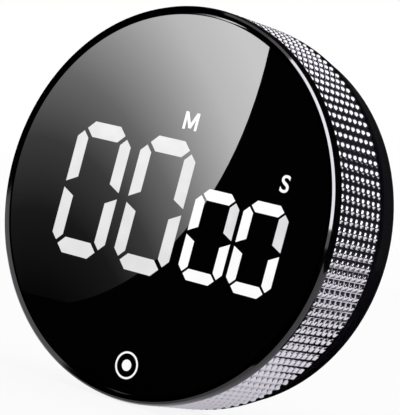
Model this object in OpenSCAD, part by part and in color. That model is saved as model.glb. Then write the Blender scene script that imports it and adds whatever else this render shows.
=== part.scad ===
// Rotary kitchen timer: a knurled dial ring turns round a pressable display lens.
// The face looks along -Y with +Z up, and the origin is the centre of the back face.
// Every piece is drawn lying on its back, with the dial axis along +Z, and then stood upright.

/* [Dial ring] */
// Diameter over the knurl crests
dial_d = 79; // [78:0.5:90]
// Height of the lens front above the back face
face_z = 25.2; // [24.8:0.1:32]
// Plain band between the lens front and the knurl
front_band = 2; // [1.8:0.1:2.6]
// How far the trim stands proud of the lens
trim_proud = 0.4; // [0.2:0.1:0.8]
// Width of the trim's bright chamfer, across the face
trim_chamfer = 0.4; // [0.3:0.05:0.6]
// Width of the trim's slope down to the lens
trim_lip = 0.75; // [0.5:0.05:0.9]
// Knurl pyramids around the ring
knurl_around = 120; // [60:2:150]
// Knurl pyramids across the ring
knurl_across = 8; // [4:1:12]
// Height of a knurl pyramid
knurl_h = 0.75; // [0.3:0.05:0.9]
// Wall of the knurled sleeve below the grooves
sleeve_wall = 0.75; // [0.6:0.05:1]
// Wall of the ring carrier round the retaining flange
carrier_lip = 0.95; // [0.8:0.05:1.2]
// Radial running clearance between the ring and the drum
bearing_gap = 0.06; // [0.02:0.01:0.1]

/* [Rear housing] */
// Height of the plain rear band
rear_band_h = 7; // [6.6:0.1:7.6]
// How far the rear band draws in towards the back
rear_taper = 1.4; // [1:0.1:2.4]
// Rounding of the rear edge
rear_edge_r = 0.9; // [0.4:0.1:1.4]
// Thickness of the back plate
plate_t = 2.8; // [2.6:0.1:3.2]
// Running gap between the rear band and the ring
run_gap = 0.4; // [0.35:0.05:0.6]

/* [Gear] */
// Teeth of the ring gear inside the dial
ring_teeth = 90; // [72:2:108]
// Teeth of the encoder pinion
pinion_teeth = 18; // [16:1:20]
// Width of the ring gear
gear_w = 4; // [3:0.1:4.2]
// Play of each flank
gear_slack = 0.05; // [0.03:0.01:0.1]

/* [Lens and display] */
// Thickness of the lens
lens_t = 1; // [0.8:0.1:1.2]
// Gap between the lens edge and the trim
lens_gap = 0.25; // [0.2:0.05:0.4]
// Press travel of the lens
press_travel = 0.35; // [0.2:0.05:0.4]
// Height of the large digits
big_h = 27.1; // [20:0.1:30]
// Width of a large digit
big_w = 13.6; // [10:0.1:15]
// Stroke of the large digits
big_stroke = 3; // [2:0.1:3.6]
// Spacing of the large digits
big_pitch = 16.05; // [15.5:0.05:16.5]
// Height of the small digits
small_h = 18.1; // [14:0.1:22]
// Width of a small digit
small_w = 10.4; // [8:0.1:10.6]
// Stroke of the small digits
small_stroke = 2.2; // [1.6:0.05:2.6]
// Spacing of the small digits
small_pitch = 11.4; // [11:0.05:11.8]
// Forward lean of the digits, degrees
digit_lean = 2; // [0:0.1:6]

/* [Batteries] */
// Cell diameter
cell_d = 10.5; // [10:0.1:10.8]
// Cell length over the nub
cell_l = 44.5; // [43.5:0.1:45]
// Length left for a contact spring
spring_l = 5.1; // [4:0.1:5.6]
// Wire of the contact springs
spring_wire = 0.6; // [0.4:0.05:0.7]
// Turns of a contact spring
spring_turns = 3.5; // [2:0.5:4]
// Thickness of the battery door
door_t = 2; // [1.8:0.1:2.1]
// Gap round the battery door
door_gap = 0.2; // [0.15:0.05:0.3]

/* [Back details] */
// Diameter of a holding magnet
magnet_d = 10; // [8:0.5:10.5]
// Thickness of a holding magnet
magnet_t = 2; // [1.5:0.1:2.2]
// Travel of the volume slider each way from the middle
slider_travel = 2.2; // [1.5:0.1:2.4]
// Diameter of a case screw's head
screw_head_d = 4.2; // [3.6:0.1:4.4]

/* [Hidden] */
$fn = 96;
cut = 1;

// Radii of the ring, from the knurl inwards
glue_gap = 0.05;
dial_r = dial_d / 2;
root_r = dial_r - knurl_h;
sleeve_r = root_r - sleeve_wall;
carrier_r = sleeve_r - glue_gap;
flange_gap = 0.3;
flange_bore_r = carrier_r - carrier_lip;
flange_r = flange_bore_r - flange_gap;
flange_step = 1.14;
bore_r = flange_r - flange_step;
drum_r = bore_r - bearing_gap;
drum_wall = 1.7;
drum_in_r = drum_r - drum_wall;
trim_step = 0.1;
trim_taper = 0.3;
trim_shoulder = 1.4;
trim_lip_edge = 0.05;
trim_seat = 0.2;
trim_seat_t = 0.4;
trim_r = dial_r - trim_step;
lens_r = trim_r - trim_taper - trim_chamfer - trim_lip - lens_gap;
lens_edge = 0.15;

// Rear band
rear_step = 0.2;
rim_bevel = 0.3;
rear_r = dial_r - rear_taper;
rear_top_r = dial_r - rear_step;
edge_steps = 6;

// Heights at the back
ring_z = rear_band_h + run_gap;
glide_play = 0.1;
glide_t = run_gap - glide_play;
glide_inset = 0.2;
glide_step = 0.9;
lead_in = 0.4;
gear_z = ring_z + lead_in;
gear_top_z = gear_z + gear_w;
door_sink = 0.05;
cell_play = 0.3;
cell_z = door_sink + door_t + cell_play + cell_d / 2;
bay_wall = 1.2;
bay_head = 0.2;
bay_ceiling_z = cell_z + cell_d / 2 + bay_head;
bay_top_z = bay_ceiling_z + bay_wall;
drum_lift = 0.2;
drum_z = max(gear_top_z, bay_top_z) + drum_lift;

// Heights at the front, counted back from the lens
ring_front_z = face_z - front_band;
holder_t = 1;
lens_z = face_z - lens_t;
holder_z = lens_z - holder_t;
film_t = 0.15;
mask_z = lens_z - film_t;
diffuser_t = 0.2;
diffuser_z = mask_z - diffuser_t;
press_room = 0.25;
module_top_z = holder_z - press_travel - press_room;
module_proud = 0.2;
frame_top_z = module_top_z - module_proud;
frame_t = 1.6;
frame_z = frame_top_z - frame_t;
flange_t = 1;
flange_z = frame_top_z - flange_t;
flange_play = 0.1;

// The board shares the room that the battery bay and the frame leave
pcb_t = 1.2;
chip_t = 1;
board_slack = frame_z - bay_top_z - chip_t - pcb_t;
board_room = 0.2 * board_slack;
pcb_z = bay_top_z + chip_t + board_room;
pcb_front_z = pcb_z + pcb_t;
pcb_boss_h = frame_z - pcb_front_z;
pcb_rim = 0.5;
pcb_r = drum_in_r - pcb_rim;

// Gear pair: the pinion stands straight above the dial axis
addendum = 0.9;
dedendum = 1.2;
pressure = 20;
flank_steps = 2;
gear_wall = 1.9;
gear_relief = 0.15;
gear_overcut = 0.3;
gear_root_r = carrier_r - gear_wall;
gear_module = gear_root_r / (ring_teeth / 2 + dedendum);
ring_tip_r = gear_module * (ring_teeth / 2 - addendum);
gear_centre = gear_module * (ring_teeth - pinion_teeth) / 2;
pinion_tip_r = gear_module * (pinion_teeth / 2 + addendum);
pinion_root_r = gear_module * (pinion_teeth / 2 - dedendum);
pinion_inset = 0.3;
pinion_z = gear_z + pinion_inset;
pinion_w = gear_w - 2 * pinion_inset;
pinion_fit = 0.01;
shaft_r = 2;
shaft_gap = 0.04;
shaft_tail = 0.2;
shaft_end = 0.1;
encoder_w = 8;
encoder_h = 3;
encoder_bush_r = 3;
encoder_bush_h = 0.8;
encoder_z = pcb_z - encoder_h;

// Battery bay: the cells lie along X, side by side along Y
cell_space = 0.5;
cell_pitch = cell_d + cell_space;
cell_nub_r = 1.8;
cell_nub_h = 1;
cell_nub_root = 0.2;
contact_t = 0.4;
contact_gap = 0.05;
bay_l = cell_l + spring_l + 2 * contact_t + 2 * contact_gap;
bay_side = 0.4;
bay_w = 3 * cell_pitch + bay_side;
bay_corner = 2.6;
contact_w = bay_w - 2 * bay_corner - 2 * cell_pitch;
contact_h = 9;
tab_w = 3;
tab_gap = 0.1;
wire_sides = 6;
wire_rings = 8;
spring_foot_r = 2.9;
spring_tip_r = 2;

// Battery door
ledge = 1.8;
rebate_l = bay_l + 2 * ledge;
rebate_w = bay_w + 2 * ledge;
rebate_corner = 4;
door_l = rebate_l - 2 * door_gap;
door_w = rebate_w - 2 * door_gap;
door_pin_r = 0.55;
door_pin_gap = 0.05;
door_pin_l = 1.4;
door_pin_play = 0.2;
door_axis_y = door_w / 2 - door_t / 2;
door_axis_z = door_sink + door_t / 2;
thumb_r = 6;
thumb_reach = 1.4;
catch_l = 6;
catch_t = 1;
catch_h = 1.3;
catch_gap = 0.3;
grip_l = 12;
grip_w = 0.8;
grip_depth = 0.35;
grip_edge = 2.4;

// Case screws, in posts outside the door and inside the ring gear
post_r = 2.6;
post_gap = 0.3;
post_wall = 0.6;
screw_r = 1;
screw_head_h = 1.4;
screw_sink = 0.3;
screw_play = 0.1;
screw_root = 0.2;
screw_end = 0.5;
screw_drive_r = 0.9;
screw_drive_h = 0.8;
screw_seat_z = screw_sink + screw_head_h;
screw_grip = frame_z - bay_top_z - screw_end;
post_place_r = ring_tip_r - post_gap - post_r;
post_y = rebate_w / 2 + post_wall + screw_play + screw_head_d / 2;
post_x = sqrt(post_place_r * post_place_r - post_y * post_y);
post_at = [[post_x, post_y], [-post_x, post_y], [-post_x, -post_y], [post_x, -post_y]];
post_clear = 0.3;

// Magnets, between the case screws and the door
magnet_gap = 0.05;
magnet_wall = 1.1;
magnet_sink = 0.05;
magnet_floor = 0.9;
magnet_hole_r = magnet_d / 2 + magnet_gap;
magnet_x = post_x - screw_head_d / 2 - screw_play - magnet_wall - magnet_hole_r;
magnet_y = rebate_w / 2 + magnet_wall + magnet_hole_r;
magnet_at = [[magnet_x, magnet_y], [-magnet_x, magnet_y], [-magnet_x, -magnet_y], [magnet_x, -magnet_y]];

// Buzzer, below the battery bay
buzzer_r = 4.5;
buzzer_h = 5.5;
buzzer_gap = 0.1;
buzzer_hole_r = 1;
collar_wall = 0.9;
collar_h = 2;
collar_r = buzzer_r + buzzer_gap + collar_wall;
bay_clear = 0.3;
buzzer_at = [0, -bay_w / 2 - bay_wall - bay_clear - collar_r];
grille_holes = 6;
grille_hole_r = 0.6;
grille_r = 2.6;
lead_r = 0.4;
buzzer_lead_x = 2;
switch_lead_y = 2.5;

// Volume switch, midway between the door and the rear band
switch_w = 3.6;
switch_l = 9;
switch_h = 3.6;
cradle_t = 1.6;
cradle_gap = 0.1;
switch_at = [(rebate_l / 2 + drum_r) / 2, 0];
slider_l = 4.6;
slider_w = 3;
slider_sink = 0.25;
slider_head_t = 0.8;
slider_gap = 0.2;
slider_under = 0.1;
stem_l = 2.6;
stem_w = 1.3;
stem_reach = 2.4;
rib_w = 0.5;
rib_h = 0.35;
rib_root = 0.1;
rib_inset = 0.4;
rib_pitch = 1.35;
pocket_corner = 0.6;
pocket_l = slider_l + 2 * (slider_travel + slider_gap);
pocket_w = slider_w + 2 * slider_gap;
pocket_depth = slider_sink + slider_head_t + slider_under;
slot_l = stem_l + 2 * (slider_travel + slider_gap);
slot_w = stem_w + 2 * slider_gap;
stem_top_z = plate_t + stem_reach;

// Screws and chips of the board
pcb_boss_r = 2;
pcb_boss_rim = 0.95;
pcb_screw_angles = [75, 105, 255, 285];
pcb_screw_place_r = drum_in_r - pcb_boss_rim - pcb_boss_r;
pcb_screw_at = [for (a = pcb_screw_angles) pcb_screw_place_r * [cos(a), sin(a)]];
pcb_screw_r = 0.75;
pcb_head_r = 1.8;
pcb_head_h = 1.2;
pcb_screw_root = 0.2;
pcb_screw_end = 0.2;
pcb_screw_l = pcb_boss_h + frame_t / 2 - pcb_screw_end;
controller_l = 7;
driver_l = 10;
driver_w = 6;
driver_x = 10;
regulator_l = 5;
regulator_w = 3.2;
regulator_x = -16;
small_chip_l = 2;
small_chip_w = 1.25;
small_chip_t = 0.6;
small_chip_x = -15;
small_chip_y = 9;
small_chip_pitch = 5;
small_chips = 6;

// Push switch behind the round mark
tact_w = 5;
tact_rim = 2.7;
tact_drop = 1;
tact_at = [0, tact_rim + tact_w / 2 - drum_in_r];
tact_h = pcb_boss_h + frame_t - tact_drop;
plunger_r = 1.5;
plunger_gap = 0.04;

// Lens holder and films
leg_angles = [65, 115, 245, 295];
leg_t = 1.2;
leg_w = 4;
leg_rim = 2.4;
leg_r = drum_in_r - leg_rim;
hook_reach = 0.8;
hook_h = 0.8;
hook_gap = 0.05;
leg_gap = 0.25;
holder_inset = 0.1;
holder_r = flange_r - holder_inset;
film_rim = 0.8;
film_gap = 0.2;
film_r = drum_in_r - film_rim;
pad_t = 0.6;
pad_w = 6;
pad_lap = 1;

// Display layout on the face; the digits follow the window, whose drawn radius their sizes are given for
baseline_y = -14.3;
small_lift = 1.1;
big_x = -17.55;
small_x = 12.65;
segment_gap = 0.4;
segment_depth = 2.4;
drawn_window_r = 32.6;
window_rim = 1.2;
window_gap = 0.2;
window_r = drum_in_r - window_rim;
digit_fit = window_r / drawn_window_r;
case_margin = 1.6;
case_x0 = digit_fit * (big_x - big_w / 2) - case_margin;
case_x1 = digit_fit * (small_x + small_pitch + small_w / 2) + case_margin;
case_y0 = digit_fit * baseline_y - case_margin;
case_y1 = digit_fit * (baseline_y + big_h) + case_margin;

module upright() {
    rotate([90, 0, 0])
        children();
}

module disc(r, z, h) {
    translate([0, 0, z])
        cylinder(r = r, h = h);
}

module hoop(r_out, r_in, z, h) {
    difference() {
        disc(r_out, z, h);
        disc(r_in, z - cut, h + 2 * cut);
    }
}

// Flat bar with round corners, centred on the axis
module slab(l, w, z, h, r) {
    translate([0, 0, z]) {
        translate([-l / 2 + r, -w / 2, 0])
            cube([l - 2 * r, w, h]);
        translate([-l / 2, -w / 2 + r, 0])
            cube([l, w - 2 * r, h]);
        for (x = [-1, 1], y = [-1, 1])
            translate([x * (l / 2 - r), y * (w / 2 - r), 0])
                cylinder(r = r, h = h);
    }
}

module at_each(places) {
    for (p = places)
        translate([p[0], p[1], 0])
            children();
}

// Involute gear outline with a tooth centred on +X; slack thins each flank
function involute(a) = tan(a) * 180 / PI - a;
function flank_angle(r, teeth, slack) =
    let (base_r = gear_module * teeth / 2 * cos(pressure))
    let (here = r > base_r ? acos(base_r / r) : 0)
    90 / teeth + involute(pressure) - involute(here) - slack / r * 180 / PI;
function flank_point(r, teeth, slack, tooth, side) =
    let (a = tooth * 360 / teeth + side * flank_angle(r, teeth, slack))
    [r * cos(a), r * sin(a)];
function gear_points(teeth, low_r, high_r, slack) = [
    for (tooth = [0 : teeth - 1], side = [-1, 1], step = [0 : flank_steps])
        let (share = (side < 0 ? step : flank_steps - step) / flank_steps)
        flank_point(low_r + (high_r - low_r) * share, teeth, slack, tooth, side)
];

// Tube of wire wound into a cone, standing on z = 0
function wire_centre(turn) =
    let (share = turn / spring_turns)
    let (r = spring_foot_r + (spring_tip_r - spring_foot_r) * share)
    let (rise = spring_l - spring_wire - 2 * contact_gap)
    [r * cos(360 * turn), r * sin(360 * turn), spring_wire / 2 + contact_gap + rise * share];
function wire_skin(turn, side) =
    let (a = 360 * side / wire_sides)
    let (out = spring_wire / 2 * cos(a))
    wire_centre(turn) + [out * cos(360 * turn), out * sin(360 * turn), spring_wire / 2 * sin(a)];
wire_stations = [for (i = [0 : spring_turns * wire_rings]) i / wire_rings];
wire_gaps = [
    for (a = wire_stations, b = wire_stations)
        if (b - a >= 0.5)
            norm(wire_centre(a) - wire_centre(b)) - spring_wire
];
echo(least_gap_between_spring_turns = min(wire_gaps));

module wire_spring() {
    last = len(wire_stations) - 1;
    points = [for (t = wire_stations, s = [0 : wire_sides - 1]) wire_skin(t, s)];
    walls = [
        for (i = [0 : last - 1], s = [0 : wire_sides - 1])
            let (a = i * wire_sides + s)
            let (b = i * wire_sides + (s + 1) % wire_sides)
            each [[a, b, a + wire_sides], [b, b + wire_sides, a + wire_sides]]
    ];
    foot = [for (s = [wire_sides - 1 : -1 : 0]) s];
    tip = [for (s = [0 : wire_sides - 1]) last * wire_sides + s];
    polyhedron(points, concat(walls, [foot, tip]));
}

// One seven-segment digit, centred on the origin: three bars across and four upright
function lean(p) = [p[0] + p[1] * tan(digit_lean), p[1]];
function bar_across(w, stroke, y) =
    let (tip = w / 2 - stroke / 2 - segment_gap)
    let (flat = tip - stroke / 2)
    let (high = y + stroke / 2)
    let (low = y - stroke / 2)
    [[-tip, y], [-flat, high], [flat, high], [tip, y], [flat, low], [-flat, low]];
function bar_middle(w, stroke) =
    let (tip = w / 2)
    let (flat = w / 2 - stroke)
    let (half = stroke / 2)
    [[-tip, 0], [-flat, half], [flat, half], [tip, 0], [flat, -half], [-flat, -half]];
function bar_upright(h, w, stroke, sx, sy) =
    let (outer = w / 2)
    let (inner = w / 2 - stroke)
    let (top = h / 2 - stroke / 2 - segment_gap)
    let (low = segment_gap)
    [
        [sx * (outer - stroke / 2), sy * top],
        [sx * outer, sy * (top - stroke / 2)],
        [sx * outer, sy * low],
        [sx * inner, sy * (low + stroke / 2)],
        [sx * inner, sy * (top - stroke / 2)]
    ];

module digit(h, w, stroke) {
    bars = concat(
        [for (s = [-1, 1]) bar_across(w, stroke, s * (h - stroke) / 2)],
        [bar_middle(w, stroke)],
        [for (sx = [-1, 1], sy = [-1, 1]) bar_upright(h, w, stroke, sx, sy)]
    );
    for (bar = bars)
        polygon([for (p = bar) lean(p)]);
}

module all_digits(z, depth) {
    translate([0, 0, z])
        linear_extrude(depth) {
            for (i = [0, 1])
                translate(digit_fit * [big_x + i * big_pitch, baseline_y + big_h / 2])
                    digit(digit_fit * big_h, digit_fit * big_w, digit_fit * big_stroke);
            for (i = [0, 1])
                translate(digit_fit * [small_x + i * small_pitch, baseline_y + small_lift + small_h / 2])
                    digit(digit_fit * small_h, digit_fit * small_w, digit_fit * small_stroke);
        }
}

// Outline of the display case: a box with its corners clipped by the drum
module case_block(grow, z, h) {
    intersection() {
        translate([case_x0 - grow, case_y0 - grow, z])
            cube([case_x1 - case_x0 + 2 * grow, case_y1 - case_y0 + 2 * grow, h]);
        disc(window_r + grow, z, h);
    }
}

// Outline of the battery door: round lower corners and a square hinge edge
module door_outline(l, w, z, h, r) {
    translate([-l / 2, -w / 2 + r, z])
        cube([l, w - r, h]);
    translate([-l / 2 + r, -w / 2, z])
        cube([l - 2 * r, r + cut, h]);
    for (x = [-1, 1])
        translate([x * (l / 2 - r), -w / 2 + r, z])
            cylinder(r = r, h = h);
}

module rear_shell() {
    edge = [
        for (i = [0 : edge_steps])
            let (a = -90 + 90 * i / edge_steps)
            [rear_r - rear_edge_r + rear_edge_r * cos(a), rear_edge_r + rear_edge_r * sin(a)]
    ];
    rim = [
        [rear_top_r, rear_band_h - rim_bevel],
        [rear_top_r - rim_bevel, rear_band_h],
        [drum_r, rear_band_h],
        [drum_r, plate_t],
        [0, plate_t],
        [0, 0]
    ];
    rotate_extrude()
        polygon(concat(edge, rim));
}

module rear_housing() {
    mid_z = plate_t / 2;
    box_l = bay_l + 2 * bay_wall;
    box_w = bay_w + 2 * bay_wall;
    magnet_top_z = magnet_sink + magnet_t + magnet_floor;
    color([0.09, 0.09, 0.1])
        upright()
            difference() {
                union() {
                    rear_shell();
                    slab(box_l, box_w, mid_z, bay_top_z - mid_z, bay_corner + bay_wall);
                    at_each(post_at)
                        disc(post_r, mid_z, bay_top_z - mid_z);
                    at_each(magnet_at)
                        disc(magnet_hole_r + magnet_wall, mid_z, magnet_top_z - mid_z);
                    at_each([buzzer_at])
                        disc(collar_r, mid_z, plate_t + collar_h - mid_z);
                    at_each([switch_at])
                        switch_cradle(mid_z);
                }
                bay_cuts();
                back_cuts();
            }
}

module switch_cradle(z) {
    for (side = [-1, 1])
        translate([-switch_w / 2, side * (switch_l + cradle_t) / 2 + side * cradle_gap - cradle_t / 2, z])
            cube([switch_w, cradle_t, plate_t + switch_h - z]);
}

module bay_cuts() {
    slab(bay_l, bay_w, -cut, bay_ceiling_z + cut, bay_corner);
    door_outline(rebate_l, rebate_w, -cut, door_sink + door_t + cut, rebate_corner);
    translate([0, thumb_r - thumb_reach - rebate_w / 2, 0])
        disc(thumb_r, -cut, cut + door_t / 2);
    translate([-rebate_l / 2 - door_pin_l, door_axis_y, door_axis_z])
        rotate([0, 90, 0])
            cylinder(r = door_pin_r + door_pin_gap, h = rebate_l + 2 * door_pin_l);
    for (s = [-1, 1])
        translate([s * (bay_l / 2 - contact_t / 2), s * cell_pitch, bay_ceiling_z])
            cube([contact_t + 2 * contact_gap, tab_w + 2 * contact_gap, 3 * bay_wall], center = true);
}

module back_cuts() {
    at_each(post_at) {
        disc(screw_head_d / 2 + screw_play, -cut, screw_seat_z + cut);
        disc(screw_r + screw_play, -cut, bay_top_z + 2 * cut);
    }
    at_each(magnet_at)
        disc(magnet_hole_r, -cut, magnet_sink + magnet_t + cut);
    at_each([buzzer_at]) {
        disc(buzzer_r + buzzer_gap, plate_t, collar_h + cut);
        disc(grille_hole_r, -cut, plate_t + 2 * cut);
        for (i = [0 : grille_holes - 1])
            rotate([0, 0, 360 * i / grille_holes])
                translate([grille_r, 0, 0])
                    disc(grille_hole_r, -cut, plate_t + 2 * cut);
    }
    at_each([switch_at]) {
        slab(pocket_w, pocket_l, -cut, pocket_depth + cut, pocket_corner);
        translate([-slot_w / 2, -slot_l / 2, 0])
            cube([slot_w, slot_l, plate_t + cut]);
    }
}

module glide_ring() {
    color([0.85, 0.85, 0.82])
        upright()
            hoop(carrier_r - glide_inset, drum_r + glide_step, rear_band_h, glide_t);
}

module display_frame() {
    color([0.13, 0.13, 0.14])
        upright()
            difference() {
                union() {
                    hoop(drum_r, drum_in_r, drum_z, frame_z - drum_z + frame_t / 2);
                    disc(drum_r, frame_z, frame_t);
                    disc(flange_r, flange_z, flange_t);
                    at_each(post_at)
                        disc(post_r, bay_top_z, frame_z + frame_t / 2 - bay_top_z);
                    at_each(pcb_screw_at)
                        disc(pcb_boss_r, pcb_front_z, pcb_boss_h + frame_t / 2);
                }
                case_block(window_gap, frame_z - cut, frame_t + 2 * cut);
                at_each(post_at)
                    disc(screw_r + screw_play / 2, bay_top_z - cut, cut + screw_grip + screw_end);
                at_each(pcb_screw_at)
                    disc(pcb_screw_r + screw_play / 2, pcb_front_z - cut, pcb_screw_l + cut);
                at_each([tact_at])
                    translate([-tact_w / 2 - window_gap, -tact_w / 2 - window_gap, frame_z - cut])
                        cube([tact_w + 2 * window_gap, tact_w + 2 * window_gap, frame_t + 2 * cut]);
                for (a = leg_angles)
                    rotate([0, 0, a])
                        translate([leg_r - leg_gap, -leg_w / 2 - leg_gap, frame_z - cut])
                            cube([leg_t + 2 * leg_gap, leg_w + 2 * leg_gap, frame_t + 2 * cut]);
            }
}

module main_pcb() {
    color([0.05, 0.3, 0.16])
        upright()
            difference() {
                disc(pcb_r, pcb_z, pcb_t);
                at_each(post_at)
                    disc(post_r + post_clear, pcb_z - cut, pcb_t + 2 * cut);
                at_each(pcb_screw_at)
                    disc(pcb_screw_r + screw_play, pcb_z - cut, pcb_t + 2 * cut);
            }
}

module board_chips() {
    color([0.08, 0.08, 0.09])
        upright()
            translate([0, 0, pcb_z - chip_t]) {
                translate([-controller_l / 2, -controller_l / 2, 0])
                    cube([controller_l, controller_l, chip_t]);
                translate([driver_x, -driver_w / 2, 0])
                    cube([driver_l, driver_w, chip_t]);
                translate([regulator_x, -regulator_w / 2, 0])
                    cube([regulator_l, regulator_w, chip_t]);
                for (i = [0 : small_chips - 1])
                    translate([small_chip_x + small_chip_pitch * i, small_chip_y, chip_t - small_chip_t])
                        cube([small_chip_l, small_chip_w, small_chip_t]);
            }
}

module led_module() {
    color([0.1, 0.1, 0.11])
        upright()
            difference() {
                case_block(0, pcb_front_z, module_top_z - pcb_front_z);
                all_digits(module_top_z - segment_depth, segment_depth + cut);
            }
}

module led_segments() {
    color([0.96, 0.97, 1])
        upright()
            all_digits(module_top_z - segment_depth, segment_depth);
}

module encoder_body() {
    bush_z = encoder_z - encoder_bush_h;
    color([0.7, 0.71, 0.72])
        upright()
            translate([0, gear_centre, 0])
                difference() {
                    union() {
                        translate([-encoder_w / 2, -encoder_w / 2, encoder_z])
                            cube([encoder_w, encoder_w, encoder_h]);
                        disc(encoder_bush_r, bush_z, encoder_bush_h + encoder_h / 2);
                    }
                    disc(shaft_r + shaft_gap, bush_z - cut, cut + encoder_bush_h + encoder_h / 2);
                }
}

module encoder_shaft() {
    top = encoder_z + encoder_h / 2 - shaft_end;
    bottom = pinion_z - shaft_tail;
    color([0.75, 0.75, 0.76])
        upright()
            translate([0, gear_centre, 0])
                disc(shaft_r, bottom, top - bottom);
}

module encoder_pinion() {
    color([0.9, 0.9, 0.86])
        upright()
            translate([0, gear_centre, 0])
                difference() {
                    translate([0, 0, pinion_z])
                        rotate([0, 0, 90])
                            linear_extrude(pinion_w)
                                polygon(gear_points(pinion_teeth, pinion_root_r, pinion_tip_r, gear_slack));
                    disc(shaft_r + pinion_fit, pinion_z - cut, pinion_w + 2 * cut);
                }
}

module ring_carrier() {
    relief_r = gear_root_r + gear_relief;
    space_tip_r = ring_tip_r - gear_overcut;
    section = [
        [relief_r, ring_z],
        [carrier_r, ring_z],
        [carrier_r, ring_front_z],
        [flange_bore_r, ring_front_z],
        [flange_bore_r, flange_z - flange_play],
        [bore_r, flange_z - flange_play],
        [bore_r, gear_top_z],
        [ring_tip_r, gear_top_z],
        [ring_tip_r, gear_z],
        [relief_r, gear_z]
    ];
    color([0.16, 0.16, 0.17])
        upright()
            difference() {
                rotate_extrude()
                    polygon(section);
                translate([0, 0, gear_z - lead_in / 2])
                    rotate([0, 0, 90])
                        linear_extrude(gear_w + lead_in)
                            polygon(gear_points(ring_teeth, space_tip_r, gear_root_r, -gear_slack));
            }
}

// Sleeve whose outside is a square grid of pyramids, one turn of which is knurl_around wide
function ring_point(r, a, z) = [r * cos(a), r * sin(a), z];
module knurled_band() {
    n = knurl_around;
    rows = knurl_across;
    step = (ring_front_z - ring_z) / rows;
    inner_r = sleeve_r / cos(180 / n);
    low = [for (j = [0 : rows], i = [0 : n - 1]) ring_point(root_r, 360 * i / n, ring_z + j * step)];
    crest = [
        for (j = [0 : rows - 1], i = [0 : n - 1])
            ring_point(dial_r, 360 * (i + 0.5) / n, ring_z + (j + 0.5) * step)
    ];
    inner = [for (z = [ring_z, ring_front_z], i = [0 : n - 1]) ring_point(inner_r, 360 * i / n, z)];
    crest_0 = len(low);
    inner_0 = crest_0 + len(crest);
    top_row = rows * n;
    pyramids = [
        for (j = [0 : rows - 1], i = [0 : n - 1])
            let (k = (i + 1) % n, a = crest_0 + j * n + i, b = j * n)
            each [
                [b + i, a, b + k],
                [b + k, a, b + n + k],
                [b + n + k, a, b + n + i],
                [b + n + i, a, b + i]
            ]
    ];
    walls = [
        for (i = [0 : n - 1])
            let (k = (i + 1) % n)
            each [
                [inner_0 + i, inner_0 + k, inner_0 + n + k, inner_0 + n + i],
                [i, k, inner_0 + k, inner_0 + i],
                [inner_0 + n + i, inner_0 + n + k, top_row + k, top_row + i]
            ]
    ];
    color([0.8, 0.8, 0.83])
        upright()
            polyhedron(concat(low, crest, inner), concat(pyramids, walls));
}

module front_trim() {
    top_z = face_z + trim_proud;
    inner_r = lens_r + lens_gap;
    seat_r = flange_bore_r + trim_seat;
    seat_top_z = ring_front_z + trim_seat_t;
    section = [
        [seat_r, ring_front_z],
        [trim_r, ring_front_z],
        [trim_r, top_z - trim_shoulder],
        [trim_r - trim_taper, top_z - trim_chamfer],
        [inner_r + trim_lip, top_z],
        [inner_r, face_z + trim_lip_edge],
        [inner_r, seat_top_z],
        [seat_r, seat_top_z]
    ];
    color([0.2, 0.2, 0.23])
        upright()
            rotate_extrude()
                polygon(section);
}

module front_lens() {
    section = [
        [0, lens_z],
        [lens_r, lens_z],
        [lens_r, face_z - lens_edge],
        [lens_r - lens_edge, face_z],
        [0, face_z]
    ];
    color([0.02, 0.02, 0.03, 0.6])
        upright()
            rotate_extrude()
                polygon(section);
}

module lens_holder() {
    hook_top_z = frame_z - hook_gap;
    hook_z = hook_top_z - hook_h;
    ring_in_r = film_r + film_gap;
    pad_end_r = film_r + pad_lap;
    color([0.12, 0.12, 0.13])
        upright() {
            hoop(holder_r, ring_in_r, holder_z, holder_t);
            for (a = leg_angles)
                rotate([0, 0, a])
                    translate([leg_r, -leg_w / 2, 0]) {
                        translate([0, 0, hook_z])
                            cube([leg_t, leg_w, holder_z + pad_t - hook_z]);
                        translate([0, 0, hook_z])
                            cube([leg_t + hook_reach, leg_w, hook_h]);
                        translate([0, 0, holder_z])
                            cube([pad_end_r - leg_r, leg_w, pad_t]);
                    }
            translate([tact_at[0] - pad_w / 2, -pad_end_r, holder_z])
                cube([pad_w, pad_end_r + tact_at[1] + pad_w / 2, pad_t]);
        }
}

module mask_film() {
    color([0.03, 0.03, 0.03])
        upright()
            difference() {
                disc(film_r, mask_z, film_t);
                all_digits(mask_z - cut, film_t + 2 * cut);
            }
}

module diffuser_sheet() {
    color([0.95, 0.95, 0.95])
        upright()
            case_block(0, diffuser_z, mask_z - diffuser_z);
}

module tact_switch() {
    color([0.15, 0.15, 0.16])
        upright()
            translate([tact_at[0], tact_at[1], 0])
                difference() {
                    translate([-tact_w / 2, -tact_w / 2, pcb_front_z])
                        cube([tact_w, tact_w, tact_h]);
                    disc(plunger_r + plunger_gap, pcb_front_z + tact_h / 2, tact_h);
                }
}

module tact_plunger() {
    bottom = pcb_front_z + tact_h / 2 + press_travel + press_room;
    color([0.75, 0.72, 0.62])
        upright()
            translate([tact_at[0], tact_at[1], 0])
                disc(plunger_r, bottom, holder_z - bottom);
}

module buzzer() {
    color([0.07, 0.07, 0.08])
        upright()
            translate([buzzer_at[0], buzzer_at[1], 0])
                difference() {
                    disc(buzzer_r, plate_t, buzzer_h);
                    disc(buzzer_hole_r, plate_t - cut, cut + buzzer_h / 2);
                }
}

module slide_switch() {
    color([0.65, 0.66, 0.68])
        upright()
            translate([switch_at[0], switch_at[1], 0])
                difference() {
                    translate([-switch_w / 2, -switch_l / 2, plate_t])
                        cube([switch_w, switch_l, switch_h]);
                    translate([-slot_w / 2, -slot_l / 2, plate_t - cut])
                        cube([slot_w, slot_l, stem_top_z - plate_t + cut + slider_gap]);
                }
}

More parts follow.
